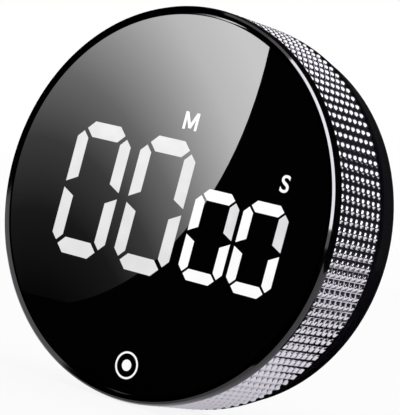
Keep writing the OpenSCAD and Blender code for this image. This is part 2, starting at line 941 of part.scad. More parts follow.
module volume_slider() {
    head_z = slider_sink + rib_h;
    color([0.1, 0.1, 0.11])
        upright()
            translate([switch_at[0], switch_at[1], 0]) {
                translate([-slider_w / 2, -slider_l / 2, head_z])
                    cube([slider_w, slider_l, slider_sink + slider_head_t - head_z]);
                for (i = [-1 : 1])
                    translate([rib_inset - slider_w / 2, i * rib_pitch - rib_w / 2, slider_sink])
                        cube([slider_w - 2 * rib_inset, rib_w, rib_h + rib_root]);
                translate([-stem_w / 2, -stem_l / 2, head_z])
                    cube([stem_w, stem_l, stem_top_z - head_z]);
            }
}

// Cell i lies along X; even cells point their nub to +X
module each_cell() {
    for (i = [0 : 2])
        translate([0, (1 - i) * cell_pitch, cell_z])
            rotate([0, 0, 180 * (i % 2)])
                children();
}

module battery_cells() {
    nub_x = bay_l / 2 - contact_t - contact_gap;
    color([0.3, 0.5, 0.42])
        upright()
            each_cell()
                rotate([0, 90, 0]) {
                    disc(cell_d / 2, nub_x - cell_l, cell_l - cell_nub_h);
                    disc(cell_nub_r, nub_x - cell_nub_h - cell_nub_root, cell_nub_h + cell_nub_root);
                }
}

module contact_plates() {
    tab_top_z = pcb_z - tab_gap;
    bridge_w = cell_pitch + contact_w;
    plate_z = cell_z - contact_h / 2;
    color([0.75, 0.75, 0.73])
        upright()
            for (s = [-1, 1])
                translate([s * (bay_l / 2 - contact_t / 2) - contact_t / 2, 0, 0]) {
                    translate([0, s * cell_pitch - contact_w / 2, plate_z])
                        cube([contact_t, contact_w, contact_h]);
                    translate([0, s * cell_pitch - tab_w / 2, cell_z])
                        cube([contact_t, tab_w, tab_top_z - cell_z]);
                    translate([0, -s * cell_pitch / 2 - bridge_w / 2, plate_z])
                        cube([contact_t, bridge_w, contact_h]);
                }
}

module contact_springs() {
    color([0.78, 0.78, 0.76])
        upright()
            each_cell()
                translate([-bay_l / 2 + contact_t, 0, 0])
                    rotate([0, 90, 0])
                        wire_spring();
}

module battery_door() {
    catch_y = catch_gap - bay_w / 2;
    pin_end = rebate_l / 2 + door_pin_l - door_pin_play;
    color([0.1, 0.1, 0.11])
        upright() {
            difference() {
                translate([0, -door_t / 4, 0])
                    door_outline(door_l, door_w - door_t / 2, door_sink, door_t, rebate_corner - door_gap);
                for (i = [0 : 2])
                    translate([-grip_l / 2, grip_edge + 2 * grip_w * i - door_w / 2, door_sink - cut])
                        cube([grip_l, grip_w, cut + grip_depth]);
            }
            translate([0, door_axis_y, door_axis_z])
                rotate([0, 90, 0]) {
                    disc(door_t / 2, -door_l / 2, door_l);
                    disc(door_pin_r, -pin_end, 2 * pin_end);
                }
            for (s = [-1, 1])
                translate([s * bay_l / 4 - catch_l / 2, catch_y, door_sink + door_t / 2])
                    cube([catch_l, catch_t, door_t / 2 + catch_h]);
        }
}

module magnets() {
    color([0.78, 0.78, 0.8])
        upright()
            at_each(magnet_at)
                disc(magnet_d / 2, magnet_sink, magnet_t);
}

module case_screws() {
    shank_z = screw_seat_z - screw_root;
    color([0.55, 0.55, 0.57])
        upright()
            at_each(post_at)
                difference() {
                    union() {
                        disc(screw_head_d / 2, screw_sink, screw_head_h);
                        disc(screw_r, shank_z, bay_top_z + screw_grip - shank_z);
                    }
                    translate([0, 0, screw_sink - cut])
                        cylinder(r = screw_drive_r, h = cut + screw_drive_h, $fn = 6);
                }
}

module pcb_screws() {
    color([0.6, 0.6, 0.62])
        upright()
            at_each(pcb_screw_at) {
                disc(pcb_head_r, pcb_z - pcb_head_h, pcb_head_h);
                disc(pcb_screw_r, pcb_z - pcb_screw_root, pcb_t + pcb_screw_l);
            }
}

module lead_wires() {
    buzzer_top_z = plate_t + buzzer_h;
    switch_top_z = plate_t + switch_h;
    color([0.7, 0.12, 0.1])
        upright() {
            for (x = [-buzzer_lead_x, buzzer_lead_x])
                translate([buzzer_at[0] + x, buzzer_at[1], 0])
                    disc(lead_r, buzzer_top_z, pcb_z - buzzer_top_z);
            for (y = [-switch_lead_y, 0, switch_lead_y])
                translate([switch_at[0] - switch_w / 2 + 2 * lead_r, switch_at[1] + y, 0])
                    disc(lead_r, switch_top_z, pcb_z - switch_top_z);
        }
}

rear_housing();
glide_ring();
display_frame();
main_pcb();
board_chips();
led_module();
led_segments();
encoder_body();
tact_switch();
buzzer();
slide_switch();
battery_cells();
contact_plates();
contact_springs();
magnets();
case_screws();
pcb_screws();
lead_wires();
ring_carrier();
knurled_band();
front_trim();
encoder_shaft();
encoder_pinion();
front_lens();
lens_holder();
mask_film();
diffuser_sheet();
tact_plunger();
volume_slider();
battery_door();
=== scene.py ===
import math

import bmesh
import bpy
from mathutils import Matrix, Vector


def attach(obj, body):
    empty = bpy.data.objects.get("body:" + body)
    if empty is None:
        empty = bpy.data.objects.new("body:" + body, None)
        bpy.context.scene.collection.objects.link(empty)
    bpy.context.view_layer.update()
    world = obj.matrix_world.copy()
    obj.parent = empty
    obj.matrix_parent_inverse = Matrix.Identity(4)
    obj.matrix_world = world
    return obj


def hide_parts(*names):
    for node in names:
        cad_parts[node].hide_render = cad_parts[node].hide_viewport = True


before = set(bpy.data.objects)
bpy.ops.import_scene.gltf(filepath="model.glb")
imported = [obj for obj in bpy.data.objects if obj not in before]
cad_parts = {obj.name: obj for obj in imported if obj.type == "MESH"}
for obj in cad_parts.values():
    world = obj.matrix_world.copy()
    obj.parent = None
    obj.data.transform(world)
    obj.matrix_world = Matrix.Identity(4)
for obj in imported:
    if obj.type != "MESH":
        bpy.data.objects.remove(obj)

bpy.context.view_layer.update()


# Rear housing: the back cup of the case, moulded in black ABS in one shot.
# Its side band is polished in the mould to a deep gloss, and its back plate is spark-eroded to a grain.
# Four screws pull it up against the display frame.

# Sizes are written in millimetres and kept in metres
MM = 0.001


def linear(hex_colour):
    """Linear RGBA of an sRGB hex colour."""
    parts = [int(hex_colour[i:i + 2], 16) / 255 for i in (1, 3, 5)]
    return [c / 12.92 if c <= 0.04045 else ((c + 0.055) / 1.055) ** 2.4 for c in parts] + [1]


def add_node(tree, kind, inputs=(), **settings):
    """Adds a node with its settings; inputs pairs a socket with a value or the socket that feeds it."""
    made = tree.nodes.new(kind)
    for name, value in settings.items():
        setattr(made, name, value)
    for socket, value in dict(inputs).items():
        if isinstance(value, bpy.types.NodeSocket):
            tree.links.new(value, made.inputs[socket])
        else:
            made.inputs[socket].default_value = value
    return made


def new_finish(name, **sockets):
    """A material with its Principled shader, whose plain sockets are set by name."""
    made = bpy.data.materials.new(name)
    made.use_nodes = True
    shader = made.node_tree.nodes["Principled BSDF"]
    for socket, value in sockets.items():
        shader.inputs[socket.replace("_", " ")].default_value = value
    return made, made.node_tree, shader


def finish_node(node, material):
    """Puts a material on a CAD node that keeps its own shape."""
    shape = bpy.data.objects[node].data
    shape.materials.clear()
    shape.materials.append(material)


# Polished and spark-eroded ABS: the band mirrors the studio with a faint haze, and the back is matt.
# Real spark erosion is finer than this grain, but would not show at this size.
FLOW_HAZE = 6.25 * MM
EROSION_GRAIN = 0.35 * MM
EROSION_DEPTH = 0.06 * MM
# Heights above the back: the grain fades out over the round rear edge, and the bevel by the knurl is dull
GRAIN_FULL = 0.2 * MM
GRAIN_START = 0.9 * MM
BAND_END = 6.6 * MM
RIM_BEVEL = 6.7 * MM
housing_abs, tree, shader = new_finish("abs_polished_band_eroded_back", IOR=1.53)
place = add_node(tree, "ShaderNodeTexCoord")
depth = add_node(tree, "ShaderNodeSeparateXYZ", {"Vector": place.outputs["Object"]})
on_back = add_node(tree, "ShaderNodeMapRange", {
    "Value": depth.outputs["Y"], "From Min": -GRAIN_START, "From Max": -GRAIN_FULL,
    "To Min": 0.0, "To Max": 1.0})
haze = add_node(tree, "ShaderNodeTexNoise", {
    "Vector": place.outputs["Object"], "Scale": 1 / FLOW_HAZE, "Detail": 4.0})
grain = add_node(tree, "ShaderNodeTexNoise", {
    "Vector": place.outputs["Object"], "Scale": 1 / EROSION_GRAIN, "Detail": 3.0, "Roughness": 0.6})
tone = add_node(tree, "ShaderNodeValToRGB", {"Fac": haze.outputs["Fac"]})
tone.color_ramp.elements[0].color = linear("#08080B")
tone.color_ramp.elements[1].color = linear("#111016")
band_rough = add_node(tree, "ShaderNodeMapRange", {
    "Value": haze.outputs["Fac"], "To Min": 0.06, "To Max": 0.13})
back_rough = add_node(tree, "ShaderNodeMapRange", {
    "Value": grain.outputs["Fac"], "To Min": 0.38, "To Max": 0.58})
rough = add_node(tree, "ShaderNodeMix", {
    0: on_back.outputs["Result"], 2: band_rough.outputs["Result"], 3: back_rough.outputs["Result"]})
bump_height = add_node(tree, "ShaderNodeMath", {
    0: grain.outputs["Fac"], 1: on_back.outputs["Result"]}, operation="MULTIPLY")
bump = add_node(tree, "ShaderNodeBump", {
    "Height": bump_height.outputs[0], "Strength": 0.25, "Distance": EROSION_DEPTH})
shine = add_node(tree, "ShaderNodeMapRange", {
    "Value": depth.outputs["Y"], "From Min": -RIM_BEVEL, "From Max": -BAND_END,
    "To Min": 0.0, "To Max": 0.2})
tree.links.new(tone.outputs["Color"], shader.inputs["Base Color"])
tree.links.new(rough.outputs[0], shader.inputs["Roughness"])
tree.links.new(shine.outputs["Result"], shader.inputs["Specular IOR Level"])
tree.links.new(bump.outputs["Normal"], shader.inputs["Normal"])
finish_node("rear_housing", housing_abs)


# Battery door, volume slider, buzzer case and inner frames: black ABS straight from a matt mould.
# The door clips on two stub pins at its upper edge, and the slider sits in a pocket in the back.
# The glide ring is as dark as these, so that no pale line shows beside the knurl.

# Matt ABS: a dull even black whose grain softens every highlight.
# The grain is drawn coarser than a real 0.1 mm, so that it shows.
MOULD_GRAIN = 0.4 * MM
MOULD_GRAIN_DEPTH = 0.05 * MM
MOULD_CLOUD = 11.11 * MM
matt_abs, tree, shader = new_finish("abs_matt_moulded", IOR=1.53)
place = add_node(tree, "ShaderNodeTexCoord")
grain = add_node(tree, "ShaderNodeTexNoise", {
    "Vector": place.outputs["Object"], "Scale": 1 / MOULD_GRAIN, "Detail": 2.0})
cloud = add_node(tree, "ShaderNodeTexNoise", {
    "Vector": place.outputs["Object"], "Scale": 1 / MOULD_CLOUD, "Detail": 3.0})
tone = add_node(tree, "ShaderNodeValToRGB", {"Fac": cloud.outputs["Fac"]})
tone.color_ramp.elements[0].color = linear("#141417")
tone.color_ramp.elements[1].color = linear("#1F1F23")
rough = add_node(tree, "ShaderNodeMapRange", {
    "Value": grain.outputs["Fac"], "To Min": 0.42, "To Max": 0.62})
bump = add_node(tree, "ShaderNodeBump", {
    "Height": grain.outputs["Fac"], "Strength": 0.2, "Distance": MOULD_GRAIN_DEPTH})
tree.links.new(tone.outputs["Color"], shader.inputs["Base Color"])
tree.links.new(rough.outputs["Result"], shader.inputs["Roughness"])
tree.links.new(bump.outputs["Normal"], shader.inputs["Normal"])
for node in ("battery_door", "volume_slider", "buzzer", "display_frame", "led_module", "lens_holder",
             "tact_switch", "ring_carrier", "glide_ring"):
    finish_node(node, matt_abs)


# Magnets, screws, switch shells, encoder shaft and battery contacts: metal under satin nickel plating.
# They are plated loose in a barrel; the magnets are then glued into their pockets.

# Barrel nickel: a soft grey sheen with pale clouds, and tumbling scratches that run mostly one way
NICKEL_CLOUD = 4.545 * MM
TUMBLE_MARKS = 0.25 * MM
TUMBLE_DEPTH = 0.004 * MM
nickel, tree, shader = new_finish("steel_barrel_nickel_plated", Metallic=1.0)
place = add_node(tree, "ShaderNodeTexCoord")
cloud = add_node(tree, "ShaderNodeTexNoise", {
    "Vector": place.outputs["Object"], "Scale": 1 / NICKEL_CLOUD, "Detail": 5.0})
marks_at = add_node(tree, "ShaderNodeMapping", {
    "Vector": place.outputs["Object"], "Scale": (0.15, 1.0, 1.0), "Rotation": (0.0, 0.5, 0.0)})
marks = add_node(tree, "ShaderNodeTexNoise", {
    "Vector": marks_at.outputs["Vector"], "Scale": 1 / TUMBLE_MARKS, "Detail": 2.0})
tone = add_node(tree, "ShaderNodeValToRGB", {"Fac": cloud.outputs["Fac"]})
tone.color_ramp.elements[0].color = linear("#9C9A96")
tone.color_ramp.elements[1].color = linear("#C9C7C2")
rough = add_node(tree, "ShaderNodeMapRange", {
    "Value": marks.outputs["Fac"], "To Min": 0.4, "To Max": 0.5})
bump = add_node(tree, "ShaderNodeBump", {
    "Height": marks.outputs["Fac"], "Strength": 0.04, "Distance": TUMBLE_DEPTH})
tree.links.new(tone.outputs["Color"], shader.inputs["Base Color"])
tree.links.new(rough.outputs["Result"], shader.inputs["Roughness"])
tree.links.new(bump.outputs["Normal"], shader.inputs["Normal"])
for node in ("magnets", "case_screws", "pcb_screws", "contact_plates", "contact_springs", "encoder_body",
             "encoder_shaft", "slide_switch"):
    finish_node(node, nickel)


# Battery cells: three small round cells, steel cans in a plain shrink film, laid head to tail.
# The film is grey-green with a pale ring at the plus end, and the can shows bare at both ends.
CELL_FOOT = -19.7 * MM
CELL_SHOULDER = 23.8 * MM
# The middle cell lies the other way round from those above and below it
MIDDLE_ROW_HALF = 5.5 * MM
# Shares of the way from the foot to the shoulder
FILM_FROM = 0.012
RING_FROM = 0.92
FILM_TO = 0.985
BARE_CAN = "#B9B6AE"

# Shrink film over steel: a soft plastic gloss with small crinkles, between edges of bright metal
FILM_CRINKLE = 1.429 * MM
CRINKLE_DEPTH = 0.04 * MM
cell_film, tree, shader = new_finish("cell_shrink_film_over_steel", IOR=1.5)
place = add_node(tree, "ShaderNodeTexCoord")
axes = add_node(tree, "ShaderNodeSeparateXYZ", {"Vector": place.outputs["Object"]})
row = add_node(tree, "ShaderNodeMath", {0: axes.outputs["Z"]}, operation="ABSOLUTE")
outer_row = add_node(tree, "ShaderNodeMath", {
    0: row.outputs[0], 1: MIDDLE_ROW_HALF}, operation="GREATER_THAN")
way = add_node(tree, "ShaderNodeMapRange", {"Value": outer_row.outputs[0], "To Min": -1.0, "To Max": 1.0})
along = add_node(tree, "ShaderNodeMath", {
    0: axes.outputs["X"], 1: way.outputs["Result"]}, operation="MULTIPLY")
share = add_node(tree, "ShaderNodeMapRange", {
    "Value": along.outputs[0], "From Min": CELL_FOOT, "From Max": CELL_SHOULDER,
    "To Min": 0.0, "To Max": 1.0})
tone = add_node(tree, "ShaderNodeValToRGB", {"Fac": share.outputs["Result"]})
tone.color_ramp.interpolation = "CONSTANT"
tone.color_ramp.elements[0].color = linear(BARE_CAN)
tone.color_ramp.elements[1].position = FILM_FROM
tone.color_ramp.elements[1].color = linear("#64887C")
tone.color_ramp.elements.new(RING_FROM).color = linear("#CFD2CD")
tone.color_ramp.elements.new(FILM_TO).color = linear(BARE_CAN)
bare = add_node(tree, "ShaderNodeValToRGB", {"Fac": share.outputs["Result"]})
bare.color_ramp.interpolation = "CONSTANT"
bare.color_ramp.elements[0].color = (1, 1, 1, 1)
bare.color_ramp.elements[1].position = FILM_FROM
bare.color_ramp.elements[1].color = (0, 0, 0, 1)
bare.color_ramp.elements.new(FILM_TO).color = (1, 1, 1, 1)
crinkle = add_node(tree, "ShaderNodeTexNoise", {
    "Vector": place.outputs["Object"], "Scale": 1 / FILM_CRINKLE, "Detail": 3.0})
rough = add_node(tree, "ShaderNodeMapRange", {
    "Value": crinkle.outputs["Fac"], "To Min": 0.2, "To Max": 0.36})
bump = add_node(tree, "ShaderNodeBump", {
    "Height": crinkle.outputs["Fac"], "Strength": 0.04, "Distance": CRINKLE_DEPTH})
tree.links.new(tone.outputs["Color"], shader.inputs["Base Color"])
tree.links.new(bare.outputs["Color"], shader.inputs["Metallic"])
tree.links.new(rough.outputs["Result"], shader.inputs["Roughness"])
tree.links.new(bump.outputs["Normal"], shader.inputs["Normal"])
finish_node("battery_cells", cell_film)


# Leads of the buzzer and the volume switch: soft PVC over tinned strands, soldered to the board.
# Each runs straight from its part to the board.

# Extruded PVC: a dull skin with long faint streaks, which run with the thickness of the case
LEAD_STREAKS = 0.3 * MM
lead_pvc, tree, shader = new_finish("pvc_extruded_lead", IOR=1.53)
place = add_node(tree, "ShaderNodeTexCoord")
streaks_at = add_node(tree, "ShaderNodeMapping", {
    "Vector": place.outputs["Object"], "Scale": (1.0, 0.1, 1.0)})
streaks = add_node(tree, "ShaderNodeTexNoise", {
    "Vector": streaks_at.outputs["Vector"], "Scale": 1 / LEAD_STREAKS, "Detail": 2.0})
tone = add_node(tree, "ShaderNodeValToRGB", {"Fac": streaks.outputs["Fac"]})
tone.color_ramp.elements[0].color = linear("#8E1B18")
tone.color_ramp.elements[1].color = linear("#B52A22")
rough = add_node(tree, "ShaderNodeMapRange", {
    "Value": streaks.outputs["Fac"], "To Min": 0.4, "To Max": 0.55})
tree.links.new(tone.outputs["Color"], shader.inputs["Base Color"])
tree.links.new(rough.outputs["Result"], shader.inputs["Roughness"])
finish_node("lead_wires", lead_pvc)


# Circuit board and its chips: glass-fibre board under green solder mask, chips in black epoxy.
# The board is screwed to the display frame, and the chips are soldered to it.

# Solder mask on glass fibre: glossy green, lifted a little by the tracks, and faintly uneven over the weave
TRACK_PITCH = 1.2 * MM
TRACK_LENGTH = 9 * MM
TRACK_LINE = 0.12 * MM
MASK_LIFT = 0.03 * MM
GLASS_WEAVE = 0.5 * MM
board_mask, tree, shader = new_finish("glass_fibre_board_solder_mask", IOR=1.52, Coat_Weight=0.3)
place = add_node(tree, "ShaderNodeTexCoord")
upright = add_node(tree, "ShaderNodeMapping", {
    "Vector": place.outputs["Object"], "Rotation": (math.pi / 2, 0.0, 0.0)})
tracks = add_node(tree, "ShaderNodeTexBrick", {
    "Vector": upright.outputs["Vector"], "Scale": 1.0, "Mortar Size": TRACK_LINE,
    "Brick Width": TRACK_LENGTH, "Row Height": TRACK_PITCH,
    "Color1": linear("#0E4A2B"), "Color2": linear("#105230"), "Mortar": linear("#1E7A49")})
lift = add_node(tree, "ShaderNodeBump", {
    "Height": tracks.outputs["Fac"], "Strength": 0.3, "Distance": MASK_LIFT})
weave = add_node(tree, "ShaderNodeTexNoise", {
    "Vector": place.outputs["Object"], "Scale": 1 / GLASS_WEAVE, "Detail": 1.0})
rough = add_node(tree, "ShaderNodeMapRange", {"Value": weave.outputs["Fac"], "To Min": 0.25, "To Max": 0.4})
tree.links.new(tracks.outputs["Color"], shader.inputs["Base Color"])
tree.links.new(rough.outputs["Result"], shader.inputs["Roughness"])
tree.links.new(lift.outputs["Normal"], shader.inputs["Normal"])
finish_node("main_pcb", board_mask)

# Transfer-moulded epoxy: a dull charcoal, speckled by its mineral filler
EPOXY_FILLER = 0.3 * MM
chip_epoxy, tree, shader = new_finish("epoxy_transfer_moulded", IOR=1.55)
place = add_node(tree, "ShaderNodeTexCoord")
filler = add_node(tree, "ShaderNodeTexNoise", {
    "Vector": place.outputs["Object"], "Scale": 1 / EPOXY_FILLER, "Detail": 4.0})
tone = add_node(tree, "ShaderNodeValToRGB", {"Fac": filler.outputs["Fac"]})
tone.color_ramp.elements[0].color = linear("#17171A")
tone.color_ramp.elements[1].color = linear("#29292C")
rough = add_node(tree, "ShaderNodeMapRange", {"Value": filler.outputs["Fac"], "To Min": 0.5, "To Max": 0.7})
tree.links.new(tone.outputs["Color"], shader.inputs["Base Color"])
tree.links.new(rough.outputs["Result"], shader.inputs["Roughness"])
finish_node("board_chips", chip_epoxy)


# Pinion and plunger: small mouldings in natural acetal, which runs without grease.
# The pinion is pressed on the encoder shaft, and the plunger slides in the push switch.

# Natural acetal: waxy white and a little see-through, so that edges look soft
ACETAL_FLOW = 3.333 * MM
ACETAL_DEPTH = 0.8 * MM
acetal, tree, shader = new_finish(
    "acetal_natural_moulded", IOR=1.48, Subsurface_Weight=0.15, Subsurface_Scale=ACETAL_DEPTH)
place = add_node(tree, "ShaderNodeTexCoord")
flow = add_node(tree, "ShaderNodeTexNoise", {
    "Vector": place.outputs["Object"], "Scale": 1 / ACETAL_FLOW, "Detail": 3.0})
tone = add_node(tree, "ShaderNodeValToRGB", {"Fac": flow.outputs["Fac"]})
tone.color_ramp.elements[0].color = linear("#D9D7CE")
tone.color_ramp.elements[1].color = linear("#EDECE6")
rough = add_node(tree, "ShaderNodeMapRange", {"Value": flow.outputs["Fac"], "To Min": 0.3, "To Max": 0.45})
tree.links.new(tone.outputs["Color"], shader.inputs["Base Color"])
tree.links.new(rough.outputs["Result"], shader.inputs["Roughness"])
for node in ("encoder_pinion", "tact_plunger"):
    finish_node(node, acetal)


# Films and light guides behind the lens: printed black film, white diffuser film, cast clear segments.
# They sit in a stack under the lens and are seen only when the stack is taken apart.

# Coated film and cast epoxy: half dull, with a soft mottle, and the segments glow
COATING_MOTTLE = 1.5 * MM
for name, node, low, high, glow in (
        ("polyester_film_black_print", "mask_film", "#0B0B0C", "#151517", 0.0),
        ("polyester_film_white_diffuser", "diffuser_sheet", "#E6E6E4", "#F4F4F2", 0.0),
        ("epoxy_cast_lit_segment", "led_segments", "#E4E8EE", "#FBFCFF", 0.8)):
    film, tree, shader = new_finish(name, IOR=1.57, Emission_Strength=glow)
    place = add_node(tree, "ShaderNodeTexCoord")
    mottle = add_node(tree, "ShaderNodeTexNoise", {
        "Vector": place.outputs["Object"], "Scale": 1 / COATING_MOTTLE, "Detail": 2.0})
    tone = add_node(tree, "ShaderNodeValToRGB", {"Fac": mottle.outputs["Fac"]})
    tone.color_ramp.elements[0].color = linear(low)
    tone.color_ramp.elements[1].color = linear(high)
    rough = add_node(tree, "ShaderNodeMapRange", {
        "Value": mottle.outputs["Fac"], "To Min": 0.3, "To Max": 0.5})
    tree.links.new(tone.outputs["Color"], shader.inputs["Base Color"])
    tree.links.new(tone.outputs["Color"], shader.inputs["Emission Color"])
    tree.links.new(rough.outputs["Result"], shader.inputs["Roughness"])
    finish_node(node, film)


# Knurled band: the grip of the dial, an aluminium sleeve with a cut grid of small domed studs.
# The studs are cut 120 round and 8 across and tumbled round, and the sleeve is chrome plated.
# It is glued on its carrier.
KNURL_AROUND = 120
KNURL_ACROSS = 8
KNURL_BACK = -7.4 * MM
KNURL_FRONT = -23.2 * MM
KNURL_ROOT_R = 38.95 * MM
KNURL_RISE = 0.5 * MM
# Width and height of the steps from the land between the studs to a stud's crown
STUD_STEPS = ((0.1 * MM, 0.0), (0.18 * MM, 0.25 * MM), (0.26 * MM, 0.19 * MM), (0.24 * MM, 0.07 * MM))
SLEEVE_R = 38.0 * MM


def start_piece(name):
    """Names the primitive just added, puts its turn into its mesh and opens it in edit mode."""
    made = bpy.context.object
    made.name = name
    bpy.ops.object.transform_apply(location=True, rotation=True, scale=True)
    bpy.ops.object.mode_set(mode="EDIT")
    return made


def end_piece(made, body, material, smooth_deg=30):
    """Leaves edit mode, smooths the piece, and gives it its material and body."""
    bpy.ops.object.mode_set(mode="OBJECT")
    bpy.ops.object.shade_smooth_by_angle(angle=math.radians(smooth_deg))
    made.data.materials.clear()
    made.data.materials.append(material)
    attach(made, body)


bpy.ops.object.select_all(action="DESELECT")
bpy.ops.mesh.primitive_circle_add(
    vertices=KNURL_AROUND, radius=KNURL_ROOT_R, location=(0, KNURL_BACK, 0), rotation=(math.pi / 2, 0, 0))
knurl = start_piece("knurled_sleeve")
row_step = (KNURL_FRONT - KNURL_BACK) / KNURL_ACROSS
bpy.ops.mesh.select_all(action="SELECT")
for row in range(KNURL_ACROSS):
    bpy.ops.mesh.extrude_edges_move(TRANSFORM_OT_translate={"value": (0, row_step, 0)})
bpy.ops.mesh.select_all(action="SELECT")
bpy.ops.mesh.normals_make_consistent(inside=False)
bpy.ops.mesh.select_mode(type="FACE")
bpy.ops.mesh.select_all(action="SELECT")
bpy.ops.transform.edge_crease(value=1)
for width, rise in STUD_STEPS:
    bpy.ops.mesh.inset(thickness=width, depth=rise, use_individual=True, use_even_offset=True)
# The two open ends are drawn in to the bore and joined through it
bpy.ops.mesh.select_mode(type="EDGE")
bpy.ops.mesh.select_all(action="DESELECT")
bpy.ops.mesh.select_non_manifold()
bpy.ops.mesh.extrude_edges_move()
draw_in = SLEEVE_R / KNURL_ROOT_R
bpy.ops.transform.resize(value=(draw_in, 1, draw_in))
bpy.ops.mesh.bridge_edge_loops()
# Only the grooves and the two ends stay sharp when the studs are rounded
cage = bmesh.from_edit_mesh(knurl.data)
crease = cage.edges.layers.float["crease_edge"]
for edge in cage.edges:
    edge[crease] = all(math.hypot(v.co.x, v.co.z) < KNURL_ROOT_R + MM / 100 for v in edge.verts)
bmesh.update_edit_mesh(knurl.data)
bpy.ops.object.mode_set(mode="OBJECT")
dome = knurl.modifiers.new("studs_tumbled_round", "SUBSURF")
dome.levels = 1
bpy.ops.object.modifier_apply(modifier="studs_tumbled_round")
bpy.ops.object.mode_set(mode="EDIT")
bpy.ops.mesh.select_all(action="SELECT")
bpy.ops.mesh.normals_make_consistent(inside=False)

# Bright chrome over cut aluminium: mirror studs with a lilac cast, and painted shade that darkens the
# grooves
PLATING_RIPPLE = 0.6 * MM
# Share of a stud's height at which the painted groove shade ends and it is as bright as its crown
GROOVE_SHADE_TOP = 0.3
knurl_chrome, tree, shader = new_finish("aluminium_cut_knurl_bright_chrome", Metallic=1.0)
place = add_node(tree, "ShaderNodeTexCoord")
flat = add_node(tree, "ShaderNodeMapping", {"Vector": place.outputs["Object"], "Scale": (1.0, 0.0, 1.0)})
reach = add_node(tree, "ShaderNodeVectorMath", {0: flat.outputs["Vector"]}, operation="LENGTH")
height = add_node(tree, "ShaderNodeMapRange", {
    "Value": reach.outputs["Value"], "From Min": KNURL_ROOT_R, "From Max": KNURL_ROOT_R + KNURL_RISE,
    "To Min": 0.0, "To Max": 1.0})
# The colour darkens towards the root of each stud: painted shade in the grooves
tone = add_node(tree, "ShaderNodeValToRGB", {"Fac": height.outputs["Result"]})
tone.color_ramp.elements[0].color = linear("#C2BDCB")
tone.color_ramp.elements[1].color = linear("#E4E0EA")
tone.color_ramp.elements[1].position = GROOVE_SHADE_TOP
ripple = add_node(tree, "ShaderNodeTexNoise", {
    "Vector": place.outputs["Object"], "Scale": 1 / PLATING_RIPPLE, "Detail": 2.0})
rough = add_node(tree, "ShaderNodeMapRange", {
    "Value": ripple.outputs["Fac"], "To Min": 0.05, "To Max": 0.12})
tree.links.new(tone.outputs["Color"], shader.inputs["Base Color"])
tree.links.new(rough.outputs["Result"], shader.inputs["Roughness"])
end_piece(knurl, "dial", knurl_chrome, smooth_deg=50)
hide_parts("knurled_band")


# Front trim: a turned ring between the knurl and the lens, with a narrow chamfer and a lip falling inwards.
# It is plated in black nickel, which mirrors the studio darkly, and is glued on the front of the carrier.
# The outline's corners are millimetres from the axis and above the back.
TRIM_OUTLINE = (
    (37.2, 23.2), (39.4, 23.2), (39.4, 24.2), (39.1, 25.2),
    (38.7, 25.6), (37.95, 25.25), (37.95, 23.6), (37.2, 23.6))
TRIM_STEPS = 288


def draw_outline(name, corners):
    """Draws a closed outline by pulling a vertex from corner to corner; it stays selected in edit mode."""
    bpy.ops.object.select_all(action="DESELECT")
    bpy.ops.mesh.primitive_plane_add(size=MM)
    made = start_piece(name)
    bpy.ops.mesh.select_mode(type="VERT")
    bpy.ops.mesh.select_all(action="SELECT")
    bpy.ops.mesh.merge(type="CENTER")
    bpy.ops.transform.translate(value=corners[0])
    for here, there in zip(corners, corners[1:]):
        bpy.ops.mesh.extrude_vertices_move(TRANSFORM_OT_translate={"value": Vector(there) - Vector(here)})
    chain = bmesh.from_edit_mesh(made.data)
    for vertex in chain.verts:
        vertex.select_set(len(vertex.link_edges) == 1)
    bmesh.update_edit_mesh(made.data)
    bpy.ops.mesh.edge_face_add()
    bpy.ops.mesh.select_all(action="SELECT")
    return made


trim = draw_outline("trim_ring", [(r * MM, -z * MM, 0) for r, z in TRIM_OUTLINE])
bpy.ops.mesh.spin(steps=TRIM_STEPS, angle=2 * math.pi, center=(0, 0, 0), axis=(0, 1, 0))
bpy.ops.mesh.select_all(action="SELECT")
bpy.ops.mesh.remove_doubles(threshold=MM / 1000)
bpy.ops.mesh.normals_make_consistent(inside=False)

# Black nickel over turned brass: a dark mirror with a faint violet cast and soft clouds in its shine
NICKEL_SHADE = 8.333 * MM
black_nickel, tree, shader = new_finish("brass_turned_black_nickel", Metallic=1.0)
place = add_node(tree, "ShaderNodeTexCoord")
cloud = add_node(tree, "ShaderNodeTexNoise", {
    "Vector": place.outputs["Object"], "Scale": 1 / NICKEL_SHADE, "Detail": 3.0})
tone = add_node(tree, "ShaderNodeValToRGB", {"Fac": cloud.outputs["Fac"]})
tone.color_ramp.elements[0].color = linear("#3B3A3C")
tone.color_ramp.elements[1].color = linear("#434244")
rough = add_node(tree, "ShaderNodeMapRange", {
    "Value": cloud.outputs["Fac"], "To Min": 0.05, "To Max": 0.11})
tree.links.new(tone.outputs["Color"], shader.inputs["Base Color"])
tree.links.new(rough.outputs["Result"], shader.inputs["Roughness"])
end_piece(trim, "dial", black_nickel, smooth_deg=20)
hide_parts("front_trim")
